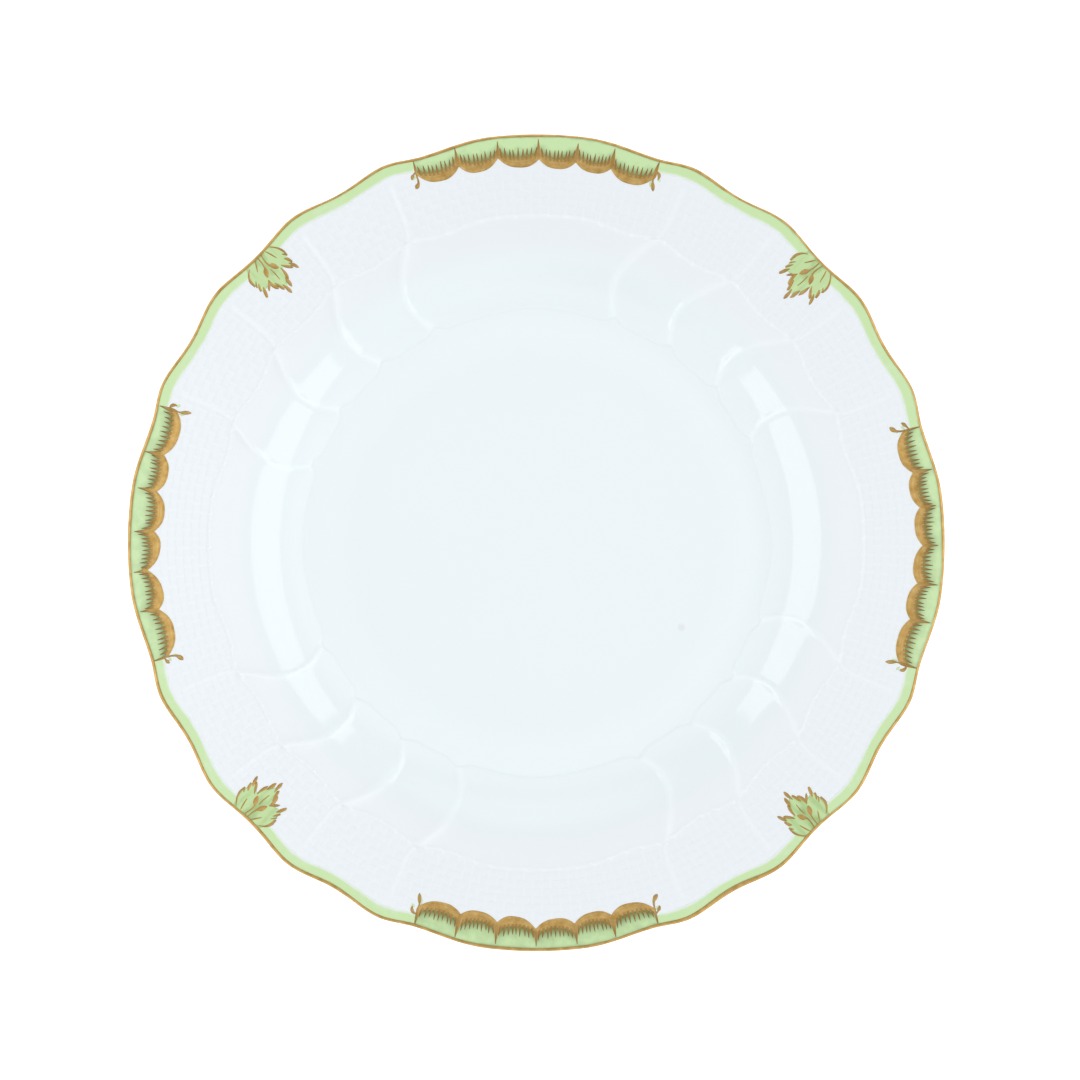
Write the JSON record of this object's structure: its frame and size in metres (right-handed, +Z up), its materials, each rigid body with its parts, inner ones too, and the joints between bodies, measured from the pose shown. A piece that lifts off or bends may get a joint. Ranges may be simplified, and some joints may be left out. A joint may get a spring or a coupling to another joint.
{
  "type": "dinner plate",
  "caption": "Round china dinner plate with a scalloped rim, basket-weave border, green enamel ribbon and gilded garlands, standing on a foot ring.",
  "frame": {"origin": "under the middle of the plate, on the plane that its foot ring stands on", "axes": "+Z up out of the well; +X to the east garland and +Y to the north garland, so the leaves lie at the 45 degree corners"},
  "size_m": [0.2673, 0.2672, 0.026],
  "materials": {
    "biscuit_porcelain": "unglazed, fine matte",
    "glaze": "clear gloss over white",
    "green_enamel": "painted, gloss",
    "leaf_enamel": "painted, gloss",
    "gilding": "burnished satin gold"
  },
  "bodies": {
    "root": {"glaze_coat": "glaze", "glaze_recess": "glaze", "gold_edge_line": "gilding", "gold_garland_east": "gilding", "gold_garland_north": "gilding", "gold_garland_south": "gilding", "gold_garland_west": "gilding", "gold_leaf_strokes_northeast": "gilding", "gold_leaf_strokes_northwest": "gilding", "gold_leaf_strokes_southeast": "gilding", "gold_leaf_strokes_southwest": "gilding", "gold_tendril_east_left": "gilding", "gold_tendril_east_right": "gilding", "gold_tendril_north_left": "gilding", "gold_tendril_north_right": "gilding", "gold_tendril_south_left": "gilding", "gold_tendril_south_right": "gilding", "gold_tendril_west_left": "gilding", "gold_tendril_west_right": "gilding", "green_leaf_northeast": "leaf_enamel", "green_leaf_northwest": "leaf_enamel", "green_leaf_southeast": "leaf_enamel", "green_leaf_southwest": "leaf_enamel", "green_panel_east": "green_enamel", "green_panel_north": "green_enamel", "green_panel_south": "green_enamel", "green_panel_west": "green_enamel", "green_ribbon_ene": "green_enamel", "green_ribbon_ese": "green_enamel", "green_ribbon_nne": "green_enamel", "green_ribbon_nnw": "green_enamel", "green_ribbon_sse": "green_enamel", "green_ribbon_ssw": "green_enamel", "green_ribbon_wnw": "green_enamel", "green_ribbon_wsw": "green_enamel", "porcelain_body": "biscuit_porcelain"}
  },
  "joints": []
}
